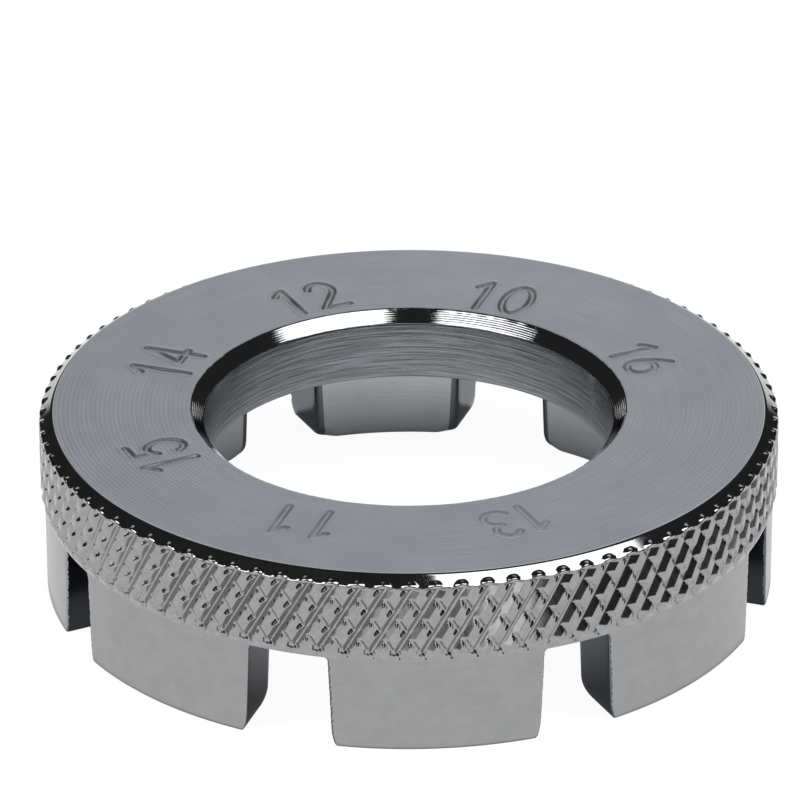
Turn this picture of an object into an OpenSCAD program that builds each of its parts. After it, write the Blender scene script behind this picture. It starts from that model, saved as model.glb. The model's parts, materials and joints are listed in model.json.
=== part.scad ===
// Round spoke key: a turned and plated steel ring with a knurled rim.
// Eight slots in the skirt take spoke nipples of different gauges.
// Origin: centre of the bottom face. +Z: up, through the numbered face.
// The first slot lies on +X and the others follow every eighth of a turn.

/* [Ring] */
// Diameter over the knurl crests
outer_d = 47; // [40:0.5:60]
// Height from the jaw feet to the numbered face
ring_h = 12; // [10.5:0.1:16]
// Diameter of the hole through the flange
bore_d = 26; // [16:0.5:31]
// Depth of the recess under the flange
recess_h = 7.3; // [6.8:0.1:8.5]
// Width of the bevel at the top of the hole
bore_bevel_w = 0.85; // [0.3:0.05:1.5]
// Depth of the bevel at the top of the hole
bore_bevel_h = 0.8; // [0.3:0.05:1.5]
// Edge break at the lower end of the hole
bore_break = 0.25; // [0.1:0.05:0.5]
// Width of the bevel round the numbered face
rim_bevel_w = 0.85; // [0.75:0.05:1.5]
// Depth of the bevel round the numbered face
rim_bevel_h = 0.65; // [0.4:0.05:1.2]
// Fillet between the recess and the flange
recess_fillet = 0.5; // [0.2:0.05:0.9]

/* [Knurl] */
// Grooves of each hand round the rim
knurl_count = 92; // [60:1:110]
// Angle from +X to the first groove crossing above the skirt
knurl_turn = 0.95; // [0:0.05:6]
// Slant of the grooves against the axis
knurl_angle = 30; // [25:1:40]
// Depth of a groove below the crests
knurl_depth = 0.4; // [0.2:0.05:0.5]
// Share of a diamond that its flat top takes
knurl_pad = 0.58; // [0.3:0.02:0.8]
// Height of the crests over the plain skirt
knurl_rise = 0.25; // [0.1:0.05:0.4]
// Plain land between the slots and the knurl
knurl_land = 0.15; // [0.1:0.05:0.5]
// Run-out at the lower end of a groove
knurl_run = 0.25; // [0.1:0.05:0.4]

/* [Jaws] */
// Thickness of the skirt that the slots cut into jaws
wall_t = 4.2; // [3:0.1:5]
// Depth of the slots
slot_h = 6.2; // [4:0.1:6.6]
// Draft of each slot wall
slot_draft = 2.5; // [0:0.25:4]
// Fillet in the upper corners of a slot
slot_fillet = 0.3; // [0.1:0.05:0.8]
// Rounding of the jaw corners at a slot's mouth
mouth_round = 0.4; // [0.1:0.05:1]
// Rounding of the inner edge of a jaw's foot
foot_round = 1.2; // [0.3:0.1:1.8]
// Edge break round the outside of a jaw's foot
foot_break = 0.25; // [0.1:0.05:0.6]

/* [Slots] */
// Width of the unmarked slot at its ceiling
slot_plain_w = 3.9; // [2.5:0.05:7]
// Width of the 16 gauge slot
slot_16_w = 2.95; // [2.5:0.05:7]
// Width of the 10 gauge slot
slot_10_w = 5.6; // [2.5:0.05:7]
// Width of the 12 gauge slot
slot_12_w = 4.7; // [2.5:0.05:7]
// Width of the 14 gauge slot
slot_14_w = 3.8; // [2.5:0.05:7]
// Width of the 15 gauge slot
slot_15_w = 3.25; // [2.5:0.05:7]
// Width of the 11 gauge slot
slot_11_w = 5.05; // [2.5:0.05:7]
// Width of the 13 gauge slot
slot_13_w = 4.35; // [2.5:0.05:7]

/* [Hidden] */
$fn = 128;
// Amount by which cutting shapes pass the faces they cut
over = 1;
// Steps in the rounded corners of a slot
arc_steps = 5;
// Slots in order round the ring, from +X
slot_w = [slot_plain_w, slot_16_w, slot_10_w, slot_12_w, slot_14_w, slot_15_w, slot_11_w, slot_13_w];
slots = len(slot_w);
slot_step = 360 / slots;
crest_r = outer_d / 2;
skirt_r = crest_r - knurl_rise;
recess_r = skirt_r - wall_t;
face_r = crest_r - rim_bevel_w;
bore_r = bore_d / 2;
// The knurl is laid out in rows where grooves of both hands cross
pitch_a = 360 / knurl_count;
row_h = PI * crest_r / knurl_count / tan(knurl_angle);
root_r = crest_r - knurl_depth;
tip_z = slot_h + knurl_land;
row_z = tip_z + knurl_run;
rows = ceil((ring_h + over - row_z) / row_h);
pad_a = pitch_a * knurl_pad / 2;
pad_h = row_h * knurl_pad;
low_z = slot_h - over;
high_z = row_z + rows * row_h + over;
// Numbers of a diamond's points, and of the points at the blank's ends
root = 0;
left = root + 1;
right = left + 1;
low = right + 1;
high = low + 1;
foot_tip = right + 1;
diamond_size = high + 1;
foot_size = foot_tip + 1;
head_size = right + 1;
foot_start = (rows + 1) * knurl_count * diamond_size;
head_start = foot_start + knurl_count * foot_size;

// Points of an arc in a plane, ends included
function arc(x, y, r, from, to) =
    [for (k = [0 : arc_steps]) let (a = from + (to - from) * k / arc_steps) [x + r * cos(a), y + r * sin(a)]];

// A point of the rim from its radius, angle and height
function rim_point(r, a, z) = [r * cos(a), r * sin(a), z];

// Half of a slot's outline, from the mouth up to the ceiling
function slot_side(w) =
    let (
        fillet_x = w / 2 + slot_fillet * tan(slot_draft) - slot_fillet / cos(slot_draft),
        mouth_x = w / 2 + (slot_h - mouth_round) * tan(slot_draft) + mouth_round / cos(slot_draft)
    )
    concat(
        [[mouth_x, -over]],
        arc(mouth_x, mouth_round, mouth_round, 270, 180 + slot_draft),
        arc(fillet_x, slot_h - slot_fillet, slot_fillet, slot_draft, 90)
    );

// A closed slot outline, symmetric about its centre line
function slot_outline(w) =
    let (side = slot_side(w))
    concat(side, [for (k = [len(side) - 1 : -1 : 0]) [-side[k][0], side[k][1]]]);

// Angle of groove crossing i in row j, the rows being staggered by half a pitch
function crossing_a(j, i) = knurl_turn + (i + (j % 2) / 2) * pitch_a;

// Level of a diamond's side corners: the lowest row blends into the skirt
function side_r(j) = j == 0 ? (crest_r + skirt_r) / 2 : crest_r;

// The groove crossing at the left of a diamond, and the corners of its flat top
function diamond(j, i) =
    let (a = crossing_a(j, i), m = a + pitch_a / 2, z = row_z + j * row_h)
    [
        rim_point(root_r, a, z),
        rim_point(side_r(j), m - pad_a, z),
        rim_point(side_r(j), m + pad_a, z),
        rim_point(crest_r, m, z - pad_h),
        rim_point(crest_r, m, z + pad_h)
    ];

// The end of the blank below one pitch of the lowest row, and the tip of its groove
function foot_points(i) =
    let (a = crossing_a(0, i), m = a + pitch_a / 2)
    [
        rim_point(skirt_r, a, low_z),
        rim_point(skirt_r, m - pad_a, low_z),
        rim_point(skirt_r, m + pad_a, low_z),
        rim_point(skirt_r, a, tip_z)
    ];

// The end of the blank above one pitch of the highest row
function head_points(i) =
    let (a = crossing_a(rows, i), m = a + pitch_a / 2)
    [
        rim_point(root_r, a, high_z),
        rim_point(crest_r, m - pad_a, high_z),
        rim_point(crest_r, m + pad_a, high_z)
    ];

// Places of the points in the blank's list
function spot(j, i, corner) = (j * knurl_count + i % knurl_count) * diamond_size + corner;
function foot_spot(i, corner) = foot_start + i % knurl_count * foot_size + corner;
function head_spot(i, corner) = head_start + i % knurl_count * head_size + corner;

// Upper half of a diamond: its flat top and the two groove walls above it
function upper_half(j, i) =
    let (above = spot(j + 1, i + j % 2, root))
    [
        [spot(j, i, left), spot(j, i, high), spot(j, i, right)],
        [spot(j, i, right), spot(j, i, high), above],
        [spot(j, i, right), above, spot(j, i + 1, root)],
        [spot(j, i, left), spot(j, i, root), above],
        [spot(j, i, left), above, spot(j, i, high)]
    ];

// Lower half of a diamond, in the same way
function lower_half(j, i) =
    let (below = spot(j - 1, i + j % 2, root))
    [
        [spot(j, i, left), spot(j, i, right), spot(j, i, low)],
        [spot(j, i, right), spot(j, i + 1, root), below],
        [spot(j, i, right), below, spot(j, i, low)],
        [spot(j, i, left), spot(j, i, low), below],
        [spot(j, i, left), below, spot(j, i, root)]
    ];

// Faces between the lowest row and the end of the blank, with the pointed groove ends
function foot_faces(i) =
    let (tip = foot_spot(i, foot_tip), next_tip = foot_spot(i + 1, foot_tip))
    [
        [spot(0, i, root), spot(0, i, left), tip],
        [spot(0, i + 1, root), next_tip, spot(0, i, right)],
        [spot(0, i, left), foot_spot(i, left), tip],
        [tip, foot_spot(i, left), foot_spot(i, root)],
        [spot(0, i, right), next_tip, foot_spot(i, right)],
        [next_tip, foot_spot(i + 1, root), foot_spot(i, right)],
        [spot(0, i, left), spot(0, i, right), foot_spot(i, right)],
        [spot(0, i, left), foot_spot(i, right), foot_spot(i, left)]
    ];

// Faces between the highest row and the end of the blank, which the bevel cuts away
function head_faces(i) =
    [
        [spot(rows, i, root), head_spot(i, root), head_spot(i, left)],
        [spot(rows, i, root), head_spot(i, left), spot(rows, i, left)],
        [spot(rows, i, left), head_spot(i, left), head_spot(i, right)],
        [spot(rows, i, left), head_spot(i, right), spot(rows, i, right)],
        [spot(rows, i, right), head_spot(i, right), head_spot(i + 1, root)],
        [spot(rows, i, right), head_spot(i + 1, root), spot(rows, i + 1, root)]
    ];

// A blank with diamond knurling, longer at both ends than the finished grip
module knurled_blank() {
    pitches = [for (i = [0 : knurl_count - 1]) i];
    foot_cap = [for (i = pitches) for (corner = [root, left, right]) foot_spot(i, corner)];
    head_cap = [for (i = pitches) for (corner = [right, left, root]) head_spot(knurl_count - 1 - i, corner)];
    polyhedron(
        points = concat(
            [for (j = [0 : rows]) for (i = pitches) for (p = diamond(j, i)) p],
            [for (i = pitches) for (p = foot_points(i)) p],
            [for (i = pitches) for (p = head_points(i)) p]
        ),
        faces = concat(
            [for (j = [0 : rows - 1]) for (i = pitches) for (f = upper_half(j, i)) f],
            [for (j = [1 : rows]) for (i = pitches) for (f = lower_half(j, i)) f],
            [for (i = pitches) for (f = foot_faces(i)) f],
            [for (i = pitches) for (f = head_faces(i)) f],
            [foot_cap, head_cap]
        )
    );
}

// Space that the finished grip fills: a sleeve with the rim bevel on top
module grip_envelope() {
    wide_r = crest_r + over;
    wide_z = ring_h - (wide_r - face_r) * rim_bevel_h / rim_bevel_w;
    rotate_extrude()
        polygon([[face_r, slot_h], [wide_r, slot_h], [wide_r, wide_z], [face_r, ring_h]]);
}

// Section of the skirt with its rounded and broken foot edges
module skirt_section() {
    difference() {
        translate([recess_r, 0])
            square([wall_t, slot_h]);
        translate([recess_r, 0])
            difference() {
                translate([-over, -over])
                    square(foot_round + over);
                translate([foot_round, foot_round])
                    circle(foot_round);
            }
        polygon([
            [skirt_r - foot_break - over, -over],
            [skirt_r + over, -over],
            [skirt_r + over, foot_break + over]
        ]);
    }
}

// Cutter for slot k, running outward from the axis
module slot_cutter(k) {
    rotate([0, 0, k * slot_step])
        rotate([90, 0, 90])
            linear_extrude(crest_r + over)
                polygon(slot_outline(slot_w[k % slots]));
}

// The part of the skirt between the middles of slots k and k + 1, less both slots
module jaw(k) {
    reach = 2 * crest_r;
    difference() {
        intersection() {
            rotate_extrude()
                skirt_section();
            translate([0, 0, -over])
                linear_extrude(slot_h + over)
                    polygon([
                        [0, 0],
                        reach * [cos(k * slot_step), sin(k * slot_step)],
                        reach * [cos((k + 1) * slot_step), sin((k + 1) * slot_step)]
                    ]);
        }
        slot_cutter(k);
        slot_cutter(k + 1);
    }
}

module ring_body() {
    color("silver")
        rotate_extrude()
            difference() {
                polygon([
                    [bore_r, recess_h + bore_break],
                    [bore_r, ring_h - bore_bevel_h],
                    [bore_r + bore_bevel_w, ring_h],
                    [face_r, ring_h],
                    [face_r, slot_h],
                    [recess_r, slot_h],
                    [recess_r, recess_h - recess_fillet],
                    [recess_r - recess_fillet, recess_h],
                    [bore_r + bore_break, recess_h]
                ]);
                translate([recess_r - recess_fillet, recess_h - recess_fillet])
                    circle(recess_fillet);
            }
}

module knurled_grip() {
    color("gainsboro")
        intersection() {
            knurled_blank();
            grip_envelope();
        }
}

module jaw_plain_16() {
    color("lightsteelblue")
        jaw(0);
}

module jaw_16_10() {
    color("lightslategray")
        jaw(1);
}

module jaw_10_12() {
    color("lightsteelblue")
        jaw(2);
}

module jaw_12_14() {
    color("lightslategray")
        jaw(3);
}

module jaw_14_15() {
    color("lightsteelblue")
        jaw(4);
}

module jaw_15_11() {
    color("lightslategray")
        jaw(5);
}

module jaw_11_13() {
    color("lightsteelblue")
        jaw(6);
}

module jaw_13_plain() {
    color("lightslategray")
        jaw(7);
}

ring_body();
knurled_grip();
jaw_plain_16();
jaw_16_10();
jaw_10_12();
jaw_12_14();
jaw_14_15();
jaw_15_11();
jaw_11_13();
jaw_13_plain();
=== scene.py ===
"""Looks of a round spoke key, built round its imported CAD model.

Lengths are in millimetres until an object is made, and angles in radians unless a line says degrees.
"""
import json
import math

import bpy
import numpy as np
from mathutils import Matrix, Vector


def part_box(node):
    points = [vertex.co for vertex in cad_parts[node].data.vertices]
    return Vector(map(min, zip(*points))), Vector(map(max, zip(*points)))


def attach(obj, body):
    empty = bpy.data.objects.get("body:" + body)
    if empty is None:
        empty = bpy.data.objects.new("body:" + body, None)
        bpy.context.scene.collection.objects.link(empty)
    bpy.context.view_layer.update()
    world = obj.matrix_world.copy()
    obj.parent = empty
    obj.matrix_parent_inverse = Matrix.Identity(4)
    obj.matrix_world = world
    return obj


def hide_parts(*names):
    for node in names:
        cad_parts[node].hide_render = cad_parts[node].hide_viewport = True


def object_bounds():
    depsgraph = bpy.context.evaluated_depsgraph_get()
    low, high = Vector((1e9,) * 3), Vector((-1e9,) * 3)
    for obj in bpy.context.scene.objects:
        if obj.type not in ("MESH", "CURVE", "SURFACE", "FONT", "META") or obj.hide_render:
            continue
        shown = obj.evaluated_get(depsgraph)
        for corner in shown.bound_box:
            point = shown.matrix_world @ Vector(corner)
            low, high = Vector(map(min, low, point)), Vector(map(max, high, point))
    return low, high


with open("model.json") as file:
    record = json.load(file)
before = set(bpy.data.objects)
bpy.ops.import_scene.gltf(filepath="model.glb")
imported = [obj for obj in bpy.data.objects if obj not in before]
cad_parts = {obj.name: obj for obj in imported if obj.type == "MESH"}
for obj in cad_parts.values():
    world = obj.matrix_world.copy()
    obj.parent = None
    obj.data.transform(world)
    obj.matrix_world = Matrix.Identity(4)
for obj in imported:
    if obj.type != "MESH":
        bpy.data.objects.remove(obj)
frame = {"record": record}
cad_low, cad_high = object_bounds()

MM = 0.001
MICRON = 1e-6
# A length too small to see
HAIR = 0.01

# Sizes read from the frame
RING_H = cad_high.z / MM
FACE_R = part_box("ring_body")[1].x / MM
SLOT_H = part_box("knurled_grip")[0].z / MM
BORE_R = next(m["dims"]["r_mm"] for m in frame["record"]["mounts"] if m["name"] == "finger_bore")

# Turned section
CREST_R = 23.5
SKIRT_R = 23.25
WALL_T = 4.2
RECESS_R = SKIRT_R - WALL_T
RECESS_H = 7.3
RECESS_FILLET = 0.5
RECESS_EDGE = 0.1
BORE_BREAK = 0.25
BORE_BEVEL_W = 0.85
BORE_BEVEL_H = 0.8
BORE_BEVEL_R = BORE_R + BORE_BEVEL_W
BORE_BEVEL_FOOT = RING_H - BORE_BEVEL_H
BEVEL_TOP_ROUND = 0.09
BEVEL_FOOT_ROUND = 0.1
RIM_BEVEL_W = CREST_R - FACE_R
RIM_BEVEL_H = 0.65
RIM_SLOPE = RIM_BEVEL_W / RIM_BEVEL_H
# The flange and the rim meet out of sight, a little inside the face's edge
SEAM_R = FACE_R - 0.08
# Nicks on the hole's upper edge: the size of the nicked edge, their depth and their count
NICK_BAND = 0.1
NICK_DEPTH = 0.012
NICK_COUNT = 240

# Slots in order round the ring from +X: gauge mark and width at the ceiling
SLOTS = [
    ("plain", 3.9), ("16", 2.95), ("10", 5.6), ("12", 4.7),
    ("14", 3.8), ("15", 3.25), ("11", 5.05), ("13", 4.35),
]
SLOT_STEP = 2 * math.pi / len(SLOTS)
SLOT_DRAFT = math.radians(2.5)
SLOT_FILLET = 0.3
# Flare of a slot's mouth
MOUTH_TALL = 1.3
MOUTH_WIDE = 0.36

# Jaws: roundings of the foot and of the upright edges, and how far an outer edge is chipped
FOOT_ROUND = 0.45
FOOT_CORNER = 1.15
FOOT_CORNER_RUN = 1.3
FOOT_BREAK = 0.2
OUTER_EDGE = 0.08
INNER_EDGE = 0.45
CHIP = 0.12

# Knurl: rows of groove crossings, staggered by half a pitch
KNURL_COUNT = 92
KNURL_TURN = math.radians(0.95)
KNURL_ANGLE = math.radians(30)
PITCH = 2 * math.pi * CREST_R / KNURL_COUNT
ROW_H = PITCH / 2 / math.tan(KNURL_ANGLE)
ROW_Z = SLOT_H + 0.41
# Heights over which the rim steps out from the skirt and its grooves set in
STEP_RUN = 0.8
FADE_RUN = 0.2
# Where a groove's end begins and where it is full, in pitches from its lowest crossing
TIP_BELOW = -0.05
TIP_ABOVE = 0.14
# Leading groove: depth, half-width of its floor and reach to both sides in pitches, spread of its depth
GROOVE_DEPTH = 0.41
GROOVE_FLAT = 0.022
GROOVE_LEFT = 0.24
GROOVE_RIGHT = 0.36
GROOVE_SPREAD = 0.08
# Cross groove: depth and reach in pitches, and the pit that deepens it at each pad
CROSS_DEPTH = 0.22
CROSS_BELOW = 0.12
CROSS_ABOVE = 0.2
PIT_DEPTH = 0.12
PIT_BELOW = 0.18
PIT_PLACE = 0.37
PIT_RUN = 0.19
PIT_SPREAD = 0.15
# Rounding of the pads' edges and of the rim's edge
PAD_BLEND = 0.012
RIM_BLEND = 0.06
# Tongues that the rolling pushed up over the rim's edge, one for each pitch
TONGUE_Z = RING_H - 0.86
TONGUE_W = 0.66
TONGUE_H = 0.55
TONGUE_OUT = 0.6
TONGUE_CURVE = 4
TONGUE_PHASE = 0.56

# Stamped marks: slot, digits, height of their foot above the axis, height of the digits, places of the
# digits along the line, depth
STAMPS = [
    (1, "16", 14.75, 3.0, (-0.05, 2.0), 0.08),
    (2, "10", 14.4, 3.9, (-0.3, 2.0), 0.085),
    (3, "12", 14.75, 3.6, (-0.35, 2.1), 0.09),
    (4, "14", 14.75, 3.8, (-0.45, 1.75), 0.105),
    (5, "15", 15.1, 3.6, (-0.55, 1.55), 0.1),
    (6, "11", 15.5, 3.45, (-0.12, 2.5), 0.06),
    (7, "13", 15.6, 3.2, (0.27, 2.2), 0.05),
]
DIGIT_W = 1.75
STAMP_DEEPEST = max(stamp[-1] for stamp in STAMPS)
STAMP_END_R = 19.4
STAMP_STROKE = 0.62
STAMP_FLAT = 0.03
# Share by which a stamp's depth wavers, its waves across and up, and their shift from stamp to stamp
STAMP_UNEVEN = 0.3
STAMP_WAVES = (2.6, 2.1)
STAMP_SHIFT = 1.7
# Height of the lip pushed up round the deepest stamp, and its half-width
STAMP_LIP = 0.02
STAMP_LIP_RUN = 0.12
FACE_Z = RING_H - STAMP_LIP

# Meshes: steps in a rounded corner and along a jaw's arcs and walls
ROUND_STEPS = 4
ARC_STEPS = 44
WALL_STEPS = 8
# Rows up a jaw: heights at its foot, count of the rows between, their gap to both ends, and degrees round
# the fillet of the slots' ceilings
FOOT_ROWS = (0.0, 0.004, 0.016, 0.036, 0.065, 0.1, 0.145, 0.2, 0.27, 0.36, FOOT_ROUND)
WALL_ROWS = 46
WALL_GAP = 0.1
CEILING_ROWS = (3, 20, 38, 55, 72, 90)
# Columns of the rim across a pitch, close together at the leading groove, its rows from crossing to
# crossing, and those down its seam
KNURL_COLUMNS = (-0.5, -0.41, -0.33, -0.28, -GROOVE_LEFT, -0.18, -0.12, -0.065, -GROOVE_FLAT,
                 GROOVE_FLAT, 0.09, 0.17, 0.25, 0.32, GROOVE_RIGHT, 0.4, 0.45)
KNURL_ROWS = 20
SEAM_ROWS = 6
# Height of the rim's band with close rows, their step, and the rounding of its upper edge
EDGE_BAND = 0.85
EDGE_STEP = 0.03
EDGE_ROUND = 0.06
# Spacing of the face's points along a stamp and of its columns on and off the stamps, and the angles
# from a slot's middle between which it is stamped
STAMP_SPACING = 0.06
STAMP_COLUMN = math.radians(0.24)
PLAIN_COLUMN = math.radians(0.9)
STAMP_FROM = math.radians(-15.5)
STAMP_TO = math.radians(7.5)

# Camera fitted to the photograph
CAM_TURN = math.radians(18.7)
CAM_RISE = math.radians(27.68)
CAM_ROLL = math.radians(0.19)
CAM_DISTANCE = 409.8
CAM_LENS = 288.24
CAM_SENSOR = 36
CAM_AIM_RIGHT = -0.553
CAM_AIM_UP = 5.56

# Softboxes as the viewer sees them: middle and size as shares of their height, and turn in degrees
SOFTBOXES = {
    "softbox_right": ((0.576, -0.332), (0.85, 0.7), 22.3),
    "softbox_left": ((-0.667, -0.446), (0.85, 0.6), -22.3),
}
LAMP_HEIGHT = 1200
LAMP_LEVEL = 3.2

# Bright parts of the world, each a product of slopes. A slope is an axis of the direction as the viewer
# sees it, its two ends and the levels there. The axis off is the distance sideways from the strip's middle
BRIGHT_PARTS = {
    "back_strip": [("off", 0.0, 0.26, 1.2, 0.0), ("away", 0.1, 0.3, 0.0, 1.0), ("up", 0.0, 0.3, 2.0, 1.0),
                   ("up", 0.58, 0.8, 1.0, 0.0)],
    "back_canopy": [("off", 0.35, 0.5, 0.9, 0.0), ("away", 0.45, 0.6, 0.0, 1.0),
                    ("up", 0.5, 0.62, 0.0, 1.0)],
    "front_tent": [("away", -0.25, -0.05, 0.6, 0.0), ("up", 0.5, 0.58, 0.0, 1.0),
                   ("up", 0.68, 0.76, 1.0, 0.0)],
    "left_card": [("side", -0.82, -0.76, 0.0, 1.5), ("side", -0.6, -0.54, 1.0, 0.0),
                  ("away", -0.4, -0.3, 1.0, 0.0), ("up", 0.3, 0.4, 1.0, 0.0)],
    "horizon": [("up", 0.03, 0.1, 0.95, 0.0)],
}
STRIP_MIDDLE = 0.02
DARK_LEVEL = 0.03

# Plating: tone of its stains, and the share by which streaks change its roughness
STAIN_TONE = 0.96
DULL_SPREAD = 0.1

# Floor: half of its size, its colour for lamp light and its own white
FLOOR_HALF = 3000
FLOOR_TONE = 0.16
FLOOR_WHITE = 0.94
# Painted shadow that metal sees under the ring: share of that white left inside the ring, where it sets in,
# and where it ends at the skirt
FLOOR_PAINTED_SHADOW_SHARE = 0.18
FLOOR_OPEN_R = 0.55 * BORE_R
FLOOR_SKIRT_FROM = SKIRT_R - 0.3
FLOOR_SKIRT_TO = SKIRT_R + 0.4


def bow(x, y, rx, ry, start, end, steps=14):
    """Points of an elliptic arc, angles in degrees."""
    a = np.radians(np.linspace(start, end, steps + 1))
    return [(x + rx * math.cos(t), y + ry * math.sin(t)) for t in a]


# Strokes of the digits in a unit box, the line running to the right and the tops up
DIGITS = {
    "0": [bow(0.5, 0.5, 0.5, 0.5, 0, 360, 28)],
    "1": [[(0.1, 0.8), (0.5, 1.0), (0.5, 0.0)]],
    "2": [bow(0.48, 0.72, 0.46, 0.28, 165, -35) + [(0.0, 0.0), (1.0, 0.0)]],
    "3": [bow(0.45, 0.76, 0.42, 0.24, 150, -90), bow(0.45, 0.26, 0.5, 0.26, 90, -150)],
    "4": [[(0.74, 0.0), (0.74, 1.0), (0.0, 0.3), (1.0, 0.3)]],
    "5": [[(0.95, 1.0), (0.2, 1.0), (0.1, 0.56)] + bow(0.46, 0.34, 0.5, 0.34, 130, -150)],
    "6": [[(0.62, 1.0), (0.28, 0.75), (0.06, 0.45)] + bow(0.5, 0.31, 0.48, 0.31, 165, 540, 28)],
}


def smooth(low, high, x):
    """Smooth step from 0 at low to 1 at high."""
    t = np.clip((x - low) / (high - low), 0, 1)
    return t * t * (3 - 2 * t)


def bend(start, tip, end, s):
    """Point at share s of a rounded corner from start to end, with its sharp tip between them."""
    return (1 - s) ** 2 * start + 2 * s * (1 - s) * tip + s * s * end


def add_piece(name, points, faces, cad_node, materials, zones, sharp):
    """A mesh piece that stands for a CAD node.

    zones gives each face's material, and sharp tests pairs of points for edges that aren't smooth.
    """
    mesh = bpy.data.meshes.new(name)
    mesh.from_pydata((np.asarray(points) * MM).tolist(), [], faces)
    for material in materials:
        mesh.materials.append(material)
    mesh.polygons.foreach_set("material_index", np.asarray(zones, np.int32))
    mesh.polygons.foreach_set("use_smooth", np.ones(len(mesh.polygons), bool))
    ends = np.zeros(len(mesh.edges) * 2, np.int32)
    mesh.edges.foreach_get("vertices", ends)
    flags = mesh.attributes.new("sharp_edge", "BOOLEAN", "EDGE")
    flags.data.foreach_set("value", sharp(ends.reshape(-1, 2)))
    mesh.update()
    piece = bpy.data.objects.new(name, mesh)
    bpy.context.scene.collection.objects.link(piece)
    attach(piece, "root")
    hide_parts(cad_node)


def ring_points(r, a, z):
    """Points at radii r, angles a and heights z, row by row."""
    return np.stack([r * np.cos(a), r * np.sin(a), z], axis=-1).reshape(-1, 3)


def ring_faces(rows, columns):
    """Quads of a surface that closes on itself both round the axis and round its section."""
    j, i = np.meshgrid(np.arange(rows), np.arange(columns), indexing="ij")
    here, above = j * columns, (j + 1) % rows * columns
    along = (i + 1) % columns
    quads = np.stack([here + i, here + along, above + along, above + i], axis=-1)
    return quads.reshape(-1, 4).tolist()


def row_test(columns, rows):
    """A test for edges that run along one of the given rows."""
    def along_rows(ends):
        row = ends // columns
        return (row[:, 0] == row[:, 1]) & np.isin(row[:, 0], rows)

    return along_rows


def trace(corners):
    """A closed section with rounded corners.

    A corner is r, z, its rounding and the spacing of the points after it.
    """
    spots = [np.array(c[:2], float) for c in corners]
    path = []
    for k, (_, _, rounding, spacing) in enumerate(corners):
        here, last, following = spots[k], spots[k - 1], spots[(k + 1) % len(spots)]
        back = (last - here) / np.linalg.norm(last - here)
        ahead = (following - here) / np.linalg.norm(following - here)
        start, end = here + back * rounding, here + ahead * rounding
        shares = np.linspace(0, 1, ROUND_STEPS + 1) if rounding else [1.0]
        path.extend(bend(start, here, end, s) for s in shares)
        next_round = corners[(k + 1) % len(corners)][2]
        leg = following - ahead * next_round - end
        steps = max(1, math.ceil(np.linalg.norm(leg) / spacing))
        path.extend(end + leg * s / steps for s in range(1, steps))
    return np.array(path)


def stroke_gap(line, rise, strokes):
    """Distance of points from the nearest of some strokes, across and up a stamp."""
    near = np.full_like(line, np.inf)
    for stroke in strokes:
        for p, q in zip(stroke[:-1], stroke[1:]):
            d = q - p
            s = np.clip(((line - p[0]) * d[0] + (rise - p[1]) * d[1]) / (d @ d), 0, 1)
            near = np.minimum(near, np.hypot(line - p[0] - s * d[0], rise - p[1] - s * d[1]))
    return near


def stamp_height(r, a):
    """Height change of the numbered face from the stamped digits, at radius r and angle a."""
    height = np.zeros_like(r)
    half = STAMP_STROKE / 2
    for k, text, foot, tall, places, deep in STAMPS:
        turn = a - k * SLOT_STEP
        side = np.cos(turn) > math.cos(SLOT_STEP / 2)
        line, rise = -r[side] * np.sin(turn[side]), r[side] * np.cos(turn[side])
        strokes = [np.array(stroke) * (DIGIT_W, tall) + (place - DIGIT_W / 2, foot)
                   for digit, place in zip(text, places) for stroke in DIGITS[digit]]
        near = stroke_gap(line, rise, strokes)
        waves = np.sin(STAMP_WAVES[0] * line + STAMP_SHIFT * k) * np.cos(STAMP_WAVES[1] * rise)
        uneven = 1 + STAMP_UNEVEN * waves
        cut = deep * uneven * (1 - smooth(STAMP_FLAT, half, near))
        beside = (near - half - STAMP_FLAT) / STAMP_LIP_RUN
        lip = STAMP_LIP * deep / STAMP_DEEPEST * np.exp(-(beside**2))
        height[side] += lip - cut
    return height


def face_columns():
    """Angles round the ring, close together where the face is stamped."""
    stamped = [k * SLOT_STEP for k, *_ in STAMPS]
    angles = []
    a = 0.0
    while a < 2 * math.pi - STAMP_COLUMN / 2:
        angles.append(a)
        turns = [((a - middle + math.pi) % (2 * math.pi)) - math.pi for middle in stamped]
        a += STAMP_COLUMN if any(STAMP_FROM < t < STAMP_TO for t in turns) else PLAIN_COLUMN
    return np.array(angles)


def build_flange(recess):
    """Flange with the numbered face, the bevelled hole and the recess."""
    section = trace([
        (SEAM_R, SLOT_H, 0, RING_H),
        (SEAM_R, FACE_Z, 0, 0.6),
        (STAMP_END_R, FACE_Z, 0, STAMP_SPACING),
        (BORE_BEVEL_R, FACE_Z, BEVEL_TOP_ROUND, 0.16),
        (BORE_R, BORE_BEVEL_FOOT, BEVEL_FOOT_ROUND, 0.4),
        (BORE_R, RECESS_H, BORE_BREAK, 0.6),
        (RECESS_R, RECESS_H, RECESS_FILLET, 0.5),
        (RECESS_R, SLOT_H, RECESS_EDGE, 0.8),
    ])
    angles = face_columns()
    r = np.repeat(section[:, :1], len(angles), axis=1)
    z = np.repeat(section[:, 1:], len(angles), axis=1)
    a = np.broadcast_to(angles, r.shape)
    face = np.isclose(z, FACE_Z) & (r < SEAM_R - HAIR)
    nicked = (z > RING_H - NICK_BAND) & (r < BORE_BEVEL_R + NICK_BAND)
    z[face] += stamp_height(r[face], a[face])
    nicks = np.random.default_rng(3).normal(0, NICK_DEPTH, NICK_COUNT)
    chatter = np.interp(angles, np.linspace(0, 2 * math.pi, NICK_COUNT), nicks, period=2 * math.pi)
    points = ring_points(r + nicked * chatter, a, z)
    zones = np.repeat(flange_zones(section), len(angles))
    seam = row_test(len(angles), np.flatnonzero(np.isclose(section[:, 0], SEAM_R)))
    materials = [turned_face(), turned_bevel(), bored_wall(), recess]
    add_piece("flange", points, ring_faces(*r.shape), "ring_body", materials, zones, seam)


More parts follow.
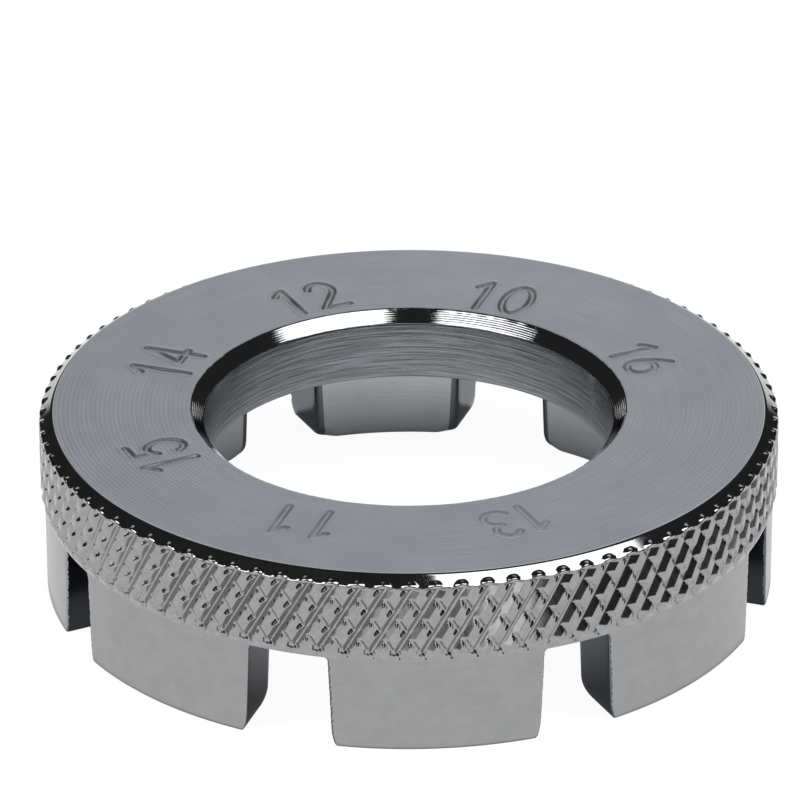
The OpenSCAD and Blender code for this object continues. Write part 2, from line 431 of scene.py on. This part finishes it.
def flange_zones(section):
    """Material of each strip of the flange's section: 0 face, 1 bevel, 2 hole, 3 recess."""
    r, z = ((section + np.roll(section, -1, axis=0)) / 2).T
    on_bevel = (z > BORE_BEVEL_FOOT) & (r < BORE_BEVEL_R) & (z < FACE_Z - HAIR)
    in_bore = (z <= BORE_BEVEL_FOOT) & (r < BORE_R + BORE_BREAK)
    below = (z < RECESS_H + HAIR) & ~in_bore
    return np.select([on_bevel, in_bore, below], [1, 2, 3], 0)


def knurl_depth(x, row):
    """Depth of the knurl, x pitches round the rim and row double rows above its lowest crossings."""
    rough = np.random.default_rng(5)
    lead_size = rough.uniform(1 - GROOVE_SPREAD, 1 + GROOVE_SPREAD, KNURL_COUNT)
    pit_size = rough.uniform(1 - PIT_SPREAD, 1 + PIT_SPREAD, (KNURL_COUNT, KNURL_COUNT))
    lead_number, cross_number, pad_number = np.round(x - row), np.round(x + row), np.floor(x - row)
    lead = x - row - lead_number
    cross = x + row - cross_number
    along = pad_number + 1 - (x - row)
    lead_end = smooth(TIP_BELOW, TIP_ABOVE, x + row - lead_number)
    cross_end = smooth(TIP_BELOW, TIP_ABOVE, cross_number - (x - row))
    lead_number, cross_number, pad_number = (
        number.astype(int) % KNURL_COUNT for number in (lead_number, cross_number, pad_number))
    reach = np.where(lead < 0, GROOVE_LEFT, GROOVE_RIGHT)
    lead_share = np.minimum(1, (reach - np.abs(lead)) / (reach - GROOVE_FLAT))
    lead_depth = GROOVE_DEPTH * lead_size[lead_number] * lead_share * lead_end
    pit = pit_size[pad_number, cross_number] * np.exp(-(((along - PIT_PLACE) / PIT_RUN) ** 2))
    reach = np.where(cross < 0, CROSS_BELOW + PIT_BELOW * pit, CROSS_ABOVE)
    cross_depth = (CROSS_DEPTH + PIT_DEPTH * pit) * (1 - np.abs(cross) / reach) * cross_end
    depth = np.maximum(lead_depth, cross_depth)
    eased = np.maximum(depth + PAD_BLEND, 0) ** 2 / (4 * PAD_BLEND)
    return np.where(depth > PAD_BLEND, depth, eased)


def tongue_radius(x, z):
    """Radius of the tongues over the rim's edge, 0 beside them."""
    turn = x - TONGUE_PHASE
    side = (turn - np.round(turn)) * PITCH
    reach = (side / TONGUE_W) ** 2 + (np.maximum(z - TONGUE_Z, 0) / TONGUE_H) ** 2
    return np.where(reach < 1, CREST_R - TONGUE_OUT * reach**TONGUE_CURVE, 0)


def rim_radius(a, z):
    """Radius of the rim's surface at angle a and height z: skirt, knurl, bevel and edge tongues."""
    x = (a - KNURL_TURN) * CREST_R / PITCH
    row = (z - ROW_Z) / (2 * ROW_H)
    fade = smooth(SLOT_H, SLOT_H + FADE_RUN, z) * (1 - smooth(TONGUE_Z, TONGUE_Z + TONGUE_H / 2, z))
    body = SKIRT_R + (CREST_R - SKIRT_R) * smooth(SLOT_H, SLOT_H + STEP_RUN, z)
    bevel = FACE_R + (RING_H - z) * RIM_SLOPE
    side_r = body - knurl_depth(x, row) * fade
    top_r = np.maximum(bevel, tongue_radius(x, z))
    meet = np.maximum(RIM_BLEND - np.abs(side_r - top_r), 0)
    return np.minimum(side_r, top_r) - meet**2 / (4 * RIM_BLEND)


def build_rim():
    """Knurled sleeve with the bevel round the numbered face. Its mesh follows the leading grooves round."""
    rows = list(np.arange(SLOT_H, RING_H - EDGE_BAND, ROW_H / KNURL_ROWS))
    rows += list(np.arange(rows[-1] + EDGE_STEP, RING_H - EDGE_ROUND, EDGE_STEP))
    start = np.array([FACE_R + (RING_H - rows[-1]) * RIM_SLOPE, rows[-1]])
    tip = np.array([FACE_R, RING_H])
    end = np.array([SEAM_R, FACE_Z])
    close = [bend(start, tip, end, s) for s in np.linspace(0, 1, ROUND_STEPS + 1)[1:]]
    close += [(SEAM_R, z) for z in np.linspace(FACE_Z, SLOT_H, SEAM_ROWS + 1)[1:]]
    heights = np.array(rows + [z for _, z in close])[:, None]
    turns = np.add.outer(np.arange(KNURL_COUNT), KNURL_COLUMNS).reshape(1, -1)
    a = KNURL_TURN + (turns + (heights - ROW_Z) / (2 * ROW_H)) * PITCH / CREST_R
    z = np.broadcast_to(heights, a.shape)
    r = rim_radius(a, z)
    r[len(rows):] = np.array(close)[:, :1]
    on_bevel = np.arange(len(heights)) >= np.searchsorted(rows, RING_H - RIM_BEVEL_H)
    zones = np.repeat(on_bevel, z.shape[1])
    seams = row_test(z.shape[1], (0, len(rows) + ROUND_STEPS - 1, len(heights) - 1))
    add_piece("knurled_rim", ring_points(r, a, z), ring_faces(*z.shape), "knurled_grip",
              [rolled_knurl(), rim_bevel()], zones, seams)


def rounded(z, radius):
    """Share of a quarter circle's width that is left at height z above the foot."""
    return math.sqrt(1 - max(0, 1 - z / radius) ** 2)


def half_width(k, z):
    """Half of slot k's width at height z, with its draft, flared mouth and filleted ceiling."""
    w = SLOTS[k % len(SLOTS)][1] / 2
    slope = math.tan(SLOT_DRAFT)
    rise = z - (SLOT_H - SLOT_FILLET)
    if rise > SLOT_FILLET * math.sin(SLOT_DRAFT):
        middle = w + SLOT_FILLET * slope - SLOT_FILLET / math.cos(SLOT_DRAFT)
        return middle + math.sqrt(max(0, SLOT_FILLET**2 - rise**2))
    return w + (SLOT_H - z) * slope + MOUTH_WIDE * (1 - rounded(z, MOUTH_TALL))


def outer_radius(z):
    """Outer radius of a jaw at height z."""
    return SKIRT_R - FOOT_BREAK * (1 - rounded(z, FOOT_BREAK))


def inner_radius(z, gap):
    """Inner radius of a jaw at height z, at a gap from its nearer wall, where its foot is rounded more."""
    radius = FOOT_ROUND + (FOOT_CORNER - FOOT_ROUND) * (1 - smooth(0, FOOT_CORNER_RUN, gap))
    return RECESS_R + radius * (1 - rounded(z, radius))


def wall_point(k, side, z, reach):
    """Point at height z and reach along a wall of slot k. side is +1 for the wall ahead of the slot."""
    a = k * SLOT_STEP
    h = side * half_width(k, z)
    return np.array([math.cos(a) * reach - math.sin(a) * h, math.sin(a) * reach + math.cos(a) * h])


def wall_reach(k, z, radius):
    """Distance along a wall of slot k at which it is at a radius."""
    return math.sqrt(radius**2 - half_width(k, z) ** 2)


def wall_line(k, side, z, start, end):
    """Points along a wall of slot k between two distances."""
    return [wall_point(k, side, z, reach) for reach in np.linspace(start, end, WALL_STEPS + 1)]


def arc_point(radius, angle):
    """Point in plan at a radius and an angle."""
    return radius * np.array([math.cos(angle), math.sin(angle)])


def jaw_loop(k, z, edges):
    """Outline of the jaw between slots k and k + 1 at height z, and the zone of each of its sides.

    edges gives the rounding of its four upright edges, from the outer one at slot k + 1 on.
    """
    outer, inner = outer_radius(z), inner_radius(z, 0)
    far, near = (k + 1, -1), (k, 1)
    (far_out, far_in), (near_out, near_in) = (
        [slot * SLOT_STEP + side * math.asin(half_width(slot, z) / radius) for radius in (outer, inner)]
        for slot, side in (far, near))
    sweep = np.linspace(near_out + edges[3] / outer, far_out - edges[0] / outer, ARC_STEPS + 1)
    front = [arc_point(outer, t) for t in sweep]
    sweep = np.linspace(far_in - edges[1] / inner, near_in + edges[2] / inner, ARC_STEPS + 1)
    back = [arc_point(inner_radius(z, RECESS_R * min(far_in - t, t - near_in)), t) for t in sweep]
    reach = [[wall_reach(slot, z, radius) for radius in (outer, inner)] for slot, _ in (far, near)]
    far_wall = wall_line(*far, z, reach[0][0] - edges[0], reach[0][1] + edges[1])
    near_wall = wall_line(*near, z, reach[1][1] + edges[2], reach[1][0] - edges[3])
    loop, zone = [], []
    for points, mark, following, tip in (
        (front, 0, far_wall, wall_point(*far, z, reach[0][0])),
        (far_wall, 1, back, wall_point(*far, z, reach[0][1])),
        (back, 2, near_wall, wall_point(*near, z, reach[1][1])),
        (near_wall, 1, front, wall_point(*near, z, reach[1][0])),
    ):
        loop += points
        loop += [bend(points[-1], tip, following[0], s) for s in np.linspace(0, 1, ROUND_STEPS + 1)[1:-1]]
        zone += [mark] * (len(points) - 1) + [min(mark, 1)] * ROUND_STEPS
    return np.array(loop), zone


def jaw_caps(count):
    """Faces that close a jaw's loop of points: quads between its two arcs and a face at each wall."""
    back = ARC_STEPS + 2 * ROUND_STEPS + WALL_STEPS
    quads = [(i, i + 1, back + ARC_STEPS - i - 1, back + ARC_STEPS - i) for i in range(ARC_STEPS)]
    far = tuple(range(ARC_STEPS, back + 1))
    near = tuple(range(back + ARC_STEPS, count)) + (0,)
    return quads + [far, near]


def jaw_heights():
    """Heights of a jaw's rows, close together at its foot and at the slots' ceilings."""
    ceiling = SLOT_H - SLOT_FILLET * (1 - np.sin(np.radians(CEILING_ROWS)))
    wall = np.linspace(FOOT_ROWS[-1] + WALL_GAP, ceiling[0] - WALL_GAP, WALL_ROWS)
    return np.concatenate([FOOT_ROWS, wall, ceiling])


def build_jaw(k, materials):
    """One jaw of the skirt, between slots k and k + 1."""
    heights = jaw_heights()
    sizes = np.array([OUTER_EDGE, INNER_EDGE, INNER_EDGE, OUTER_EDGE])
    chips = np.array([CHIP, 0, 0, CHIP]) * np.random.default_rng(k).random((len(heights), 4))
    loops = [jaw_loop(k, z, sizes + chip) for z, chip in zip(heights, chips)]
    count = len(loops[0][0])
    layers = [np.column_stack([loop, np.full(count, z)]) for (loop, _), z in zip(loops, heights)]
    points = np.concatenate(layers)
    faces, zones = [], []
    for j in range(len(heights) - 1):
        for i, zone in enumerate(loops[0][1]):
            along = (i + 1) % count
            faces.append((j * count + i, j * count + along, (j + 1) * count + along, (j + 1) * count + i))
            zones.append(zone)
    top = (len(heights) - 1) * count
    for cap in jaw_caps(count):
        faces.append(tuple(reversed(cap)))
        faces.append(tuple(top + i for i in cap))
        zones += [0, 0]
    ends = f"{SLOTS[k][0]}_{SLOTS[(k + 1) % len(SLOTS)][0]}"
    top_edge = row_test(count, [len(heights) - 1])
    add_piece(f"skirt_jaw_{ends}", points, faces, f"jaw_{ends}", materials, zones, top_edge)


def node(tree, kind, **sockets):
    """A shader node with its inputs set by values or by other nodes' outputs. iN is input number N."""
    made = tree.nodes.new(kind)
    for name, value in sockets.items():
        key = int(name[1:]) if name[0] == "i" and name[1:].isdigit() else name.replace("_", " ")
        if isinstance(value, bpy.types.NodeSocket):
            tree.links.new(value, made.inputs[key])
        else:
            made.inputs[key].default_value = value
    return made


def math_node(tree, operation, a, b=0.0):
    """Result of an operation on one or two numbers."""
    made = node(tree, "ShaderNodeMath", i0=a, i1=b)
    made.operation = operation
    return made.outputs[0]


def vector_node(tree, operation, a, b=(0, 0, 0), output="Vector"):
    """Result of an operation on one or two vectors."""
    made = node(tree, "ShaderNodeVectorMath", i0=a, i1=b)
    made.operation = operation
    return made.outputs[output]


def spread(tree, value, low, high, at_low, at_high):
    """A value mapped from one range to another, and held at its ends."""
    return node(tree, "ShaderNodeMapRange", Value=value, From_Min=low, From_Max=high,
                To_Min=at_low, To_Max=at_high).outputs[0]


def noise(tree, vector, scale, detail, rough=0.5):
    """A cloudy value from 0 to 1."""
    made = node(tree, "ShaderNodeTexNoise", Vector=vector, Scale=scale, Detail=detail, Roughness=rough)
    return made.outputs[0]


def lathe_coordinates(tree):
    """Place, direction round the axis, and the distance along the turned section in millimetres."""
    place = node(tree, "ShaderNodeTexCoord").outputs["Object"]
    flat = vector_node(tree, "MULTIPLY", place, (1, 1, 0))
    way = vector_node(tree, "NORMALIZE", flat)
    radius = vector_node(tree, "LENGTH", flat, output="Value")
    height = node(tree, "ShaderNodeSeparateXYZ", Vector=place).outputs["Z"]
    travel = math_node(tree, "MULTIPLY", math_node(tree, "ADD", radius, height), 1 / MM)
    return place, way, travel


def plated(name, colour, roughness, feed, feed_cut, streak, streak_cut, arc_scale, mottle=0.06, grain=260.0,
           scratch=0.03, edge=1.0):
    """Plated metal over turning marks.

    feed is the tool's advance per turn and streak the number of finer marks per millimetre, with their
    cuts in micrometres. arc_scale says how often a streak changes round the ring. mottle and grain are the
    strength and scale of the stains, scratch the share by which streaks change the metal's tone, and edge
    its tint at a glancing look.
    """
    made = bpy.data.materials.new(name)
    made.use_nodes = True
    tree = made.node_tree
    shader = tree.nodes["Principled BSDF"]
    place, way, travel = lathe_coordinates(tree)

    along = node(tree, "ShaderNodeCombineXYZ", Z=math_node(tree, "MULTIPLY", travel, streak)).outputs[0]
    around = vector_node(tree, "MULTIPLY", way, (arc_scale, arc_scale, arc_scale))
    streaks = noise(tree, vector_node(tree, "ADD", around, along), scale=1.0, detail=4.0, rough=0.6)
    drift = math_node(tree, "MULTIPLY", noise(tree, way, scale=2.0, detail=2.0), 6.0)
    turns = math_node(tree, "MULTIPLY", travel, 2 * math.pi / feed)
    rings = math_node(tree, "SINE", math_node(tree, "ADD", turns, drift))
    height = math_node(tree, "ADD", math_node(tree, "MULTIPLY", rings, feed_cut * MICRON),
                       math_node(tree, "MULTIPLY", streaks, streak_cut * MICRON))
    bump = node(tree, "ShaderNodeBump", Strength=1.0, Distance=1.0, Height=height)

    patches = noise(tree, place, scale=grain, detail=5.0, rough=0.6)
    tone = math_node(tree, "MULTIPLY", spread(tree, patches, 0.3, 0.7, 1 - mottle, 1 + mottle),
                     spread(tree, streaks, 0.35, 0.65, 1 - scratch, 1 + scratch))
    stain = tuple(c * STAIN_TONE for c in colour)
    tint = node(tree, "ShaderNodeMix", i0=patches, i6=colour + (1,), i7=stain + (1,))
    tint.data_type = "RGBA"
    shade = node(tree, "ShaderNodeVectorMath", i0=tint.outputs[2])
    shade.operation = "SCALE"
    tree.links.new(tone, shade.inputs["Scale"])

    tree.links.new(shade.outputs[0], shader.inputs["Base Color"])
    dull = spread(tree, streaks, 0.3, 0.7, roughness * (1 - DULL_SPREAD), roughness * (1 + DULL_SPREAD))
    tree.links.new(dull, shader.inputs["Roughness"])
    tree.links.new(bump.outputs[0], shader.inputs["Normal"])
    shader.inputs["Metallic"].default_value = 1.0
    shader.inputs["Specular Tint"].default_value = (edge, edge, edge, 1)
    return made


def turned_face():
    """Satin face with the rings of the facing cut."""
    return plated("turned_face", (0.35, 0.37, 0.398), roughness=0.42, feed=0.29, feed_cut=2.2, streak=9.0,
                  streak_cut=0.1, arc_scale=3.0, scratch=0.015)


def turned_bevel():
    """Bright bevel of the hole, with fine tool lines."""
    return plated("turned_bevel", (0.38, 0.385, 0.395), roughness=0.06, feed=0.22, feed_cut=1.2, streak=6.0,
                  streak_cut=3.0, arc_scale=14.0)


def bored_wall():
    """Scored wall of the hole."""
    return plated("bored_wall", (0.208, 0.218, 0.234), roughness=0.12, feed=0.45, feed_cut=2.0, streak=8.0,
                  streak_cut=24.0, arc_scale=4.0, scratch=0.3)


def turned_recess():
    """Smooth recess and insides of the jaws."""
    return plated("turned_recess", (0.41, 0.424, 0.446), roughness=0.14, feed=0.35, feed_cut=0.3,
                  streak=6.0, streak_cut=0.6, arc_scale=4.0)


def rolled_knurl():
    """Knurl with the grain of the rolled steel."""
    return plated("rolled_knurl", (0.335, 0.338, 0.342), roughness=0.14, feed=0.5, feed_cut=0.0, streak=5.0,
                  streak_cut=2.0, arc_scale=90.0, mottle=0.12, grain=2600.0)


def rim_bevel():
    """Bright bevel round the face."""
    return plated("rim_bevel", (0.38, 0.385, 0.395), roughness=0.06, feed=0.3, feed_cut=0.0, streak=6.0,
                  streak_cut=0.6, arc_scale=14.0)


def satin_skirt():
    """Satin outside of the jaws."""
    return plated("satin_skirt", (0.33, 0.333, 0.337), roughness=0.28, feed=0.4, feed_cut=0.0, streak=5.0,
                  streak_cut=0.1, arc_scale=5.0, grain=700.0)


def milled_slot():
    """Walls of the milled slots, painted darker as shade that falls in the slots."""
    # The low base colour and the weak glancing tint are painted shade, not the metal's own tone.
    return plated("milled_slot", (0.13, 0.142, 0.16), roughness=0.2, feed=0.5, feed_cut=0.0, streak=5.0,
                  streak_cut=0.8, arc_scale=20.0, edge=0.72)


def add_camera():
    """Camera at the photograph's viewing angle."""
    towards = Vector((math.sin(CAM_TURN) * math.cos(CAM_RISE), -math.cos(CAM_TURN) * math.cos(CAM_RISE),
                      math.sin(CAM_RISE)))
    right = Vector((math.cos(CAM_TURN), math.sin(CAM_TURN), 0))
    middle = Vector((0, 0, RING_H / 2))
    aim = middle + right * CAM_AIM_RIGHT + towards.cross(right) * CAM_AIM_UP
    spot = middle + towards * CAM_DISTANCE
    data = bpy.data.cameras.new("camera")
    data.lens = CAM_LENS
    data.sensor_width = CAM_SENSOR
    data.clip_start = 0.01
    data.clip_end = 20
    camera = bpy.data.objects.new("camera", data)
    look = (aim - spot).to_track_quat("-Z", "Y").to_matrix().to_4x4()
    camera.matrix_world = Matrix.Translation(spot * MM) @ look @ Matrix.Rotation(-CAM_ROLL, 4, "Z")
    bpy.context.scene.collection.objects.link(camera)
    bpy.context.scene.camera = camera


def add_softbox(name, middle, size, turn):
    """A soft lamp over the ring that shines straight down."""
    height = LAMP_HEIGHT * MM
    data = bpy.data.lights.new(name, "AREA")
    data.shape = "RECTANGLE"
    data.size = size[0] * height
    data.size_y = size[1] * height
    data.energy = LAMP_LEVEL * math.pi * data.size * data.size_y
    lamp = bpy.data.objects.new(name, data)
    place = Matrix.Translation(Vector((*middle, 1)) * height)
    own_turn = Matrix.Rotation(math.radians(turn), 4, "Z")
    lamp.matrix_world = Matrix.Rotation(CAM_TURN, 4, "Z") @ place @ own_turn
    bpy.context.scene.collection.objects.link(lamp)


def add_world():
    """A dark studio with pale cards, turned to the viewer."""
    world = bpy.data.worlds.new("studio")
    world.use_nodes = True
    bpy.context.scene.world = world
    tree = world.node_tree
    way = node(tree, "ShaderNodeTexCoord").outputs["Generated"]
    turned = node(tree, "ShaderNodeVectorRotate", Vector=way, Angle=-CAM_TURN)
    turned.rotation_type = "Z_AXIS"
    split = node(tree, "ShaderNodeSeparateXYZ", Vector=turned.outputs[0])
    axes = dict(zip(("side", "away", "up"), split.outputs))
    axes["off"] = math_node(tree, "ABSOLUTE", math_node(tree, "SUBTRACT", axes["side"], STRIP_MIDDLE))
    level = DARK_LEVEL
    for slopes in BRIGHT_PARTS.values():
        part = 1.0
        for axis, *ends in slopes:
            part = math_node(tree, "MULTIPLY", part, spread(tree, axes[axis], *ends))
        level = math_node(tree, "MAXIMUM", level, part)
    background = tree.nodes["Background"]
    background.inputs["Color"].default_value = (1, 1, 1, 1)
    tree.links.new(level, background.inputs["Strength"])


def floor_white():
    """White floor that keeps the ring's shadow. Metal sees it darker inside the ring, from painted shadow
    that dims its glow there.
    """
    made = bpy.data.materials.new("floor")
    made.use_nodes = True
    tree = made.node_tree
    shader = tree.nodes["Principled BSDF"]
    shader.inputs["Base Color"].default_value = (FLOOR_TONE, FLOOR_TONE, FLOOR_TONE, 1)
    shader.inputs["Roughness"].default_value = 1.0
    shader.inputs["Specular IOR Level"].default_value = 0.0
    shader.inputs["Emission Color"].default_value = (1, 1, 1, 1)
    ray = node(tree, "ShaderNodeLightPath").outputs
    away = vector_node(tree, "LENGTH", node(tree, "ShaderNodeTexCoord").outputs["Object"], output="Value")
    # Painted shadow under the ring: the glow that glossy and transmission rays see is dimmed by radius, not
    # by light that is blocked.
    inside = spread(tree, away, FLOOR_OPEN_R * MM, RECESS_R * MM, 1.0, FLOOR_PAINTED_SHADOW_SHARE)
    outside = spread(tree, away, FLOOR_SKIRT_FROM * MM, FLOOR_SKIRT_TO * MM, 0.0, 1.0)
    reflected_painted_shadow = math_node(tree, "MULTIPLY",
                         math_node(tree, "MAXIMUM", ray["Is Glossy Ray"], ray["Is Transmission Ray"]),
                         math_node(tree, "MAXIMUM", inside, outside))
    seen = math_node(tree, "MAXIMUM", ray["Is Camera Ray"], reflected_painted_shadow)
    tree.links.new(math_node(tree, "MULTIPLY", seen, FLOOR_WHITE), shader.inputs["Emission Strength"])
    return made


def add_floor():
    """The floor, a hair below the ring's feet."""
    half, drop = FLOOR_HALF * MM, HAIR * MM
    mesh = bpy.data.meshes.new("floor")
    corners = [(x * half, y * half, -drop) for x, y in ((-1, -1), (1, -1), (1, 1), (-1, 1))]
    mesh.from_pydata(corners, [], [(0, 1, 2, 3)])
    mesh.materials.append(floor_white())
    floor = bpy.data.objects.new("floor", mesh)
    bpy.context.scene.collection.objects.link(floor)


def build():
    """The whole ring."""
    recess = turned_recess()
    build_flange(recess)
    build_rim()
    jaw_materials = [satin_skirt(), milled_slot(), recess]
    for k in range(len(SLOTS)):
        build_jaw(k, jaw_materials)


build()
add_camera()
for softbox, layout in SOFTBOXES.items():
    add_softbox(softbox, *layout)
add_world()
add_floor()
bpy.context.scene.view_settings.view_transform = "Standard"
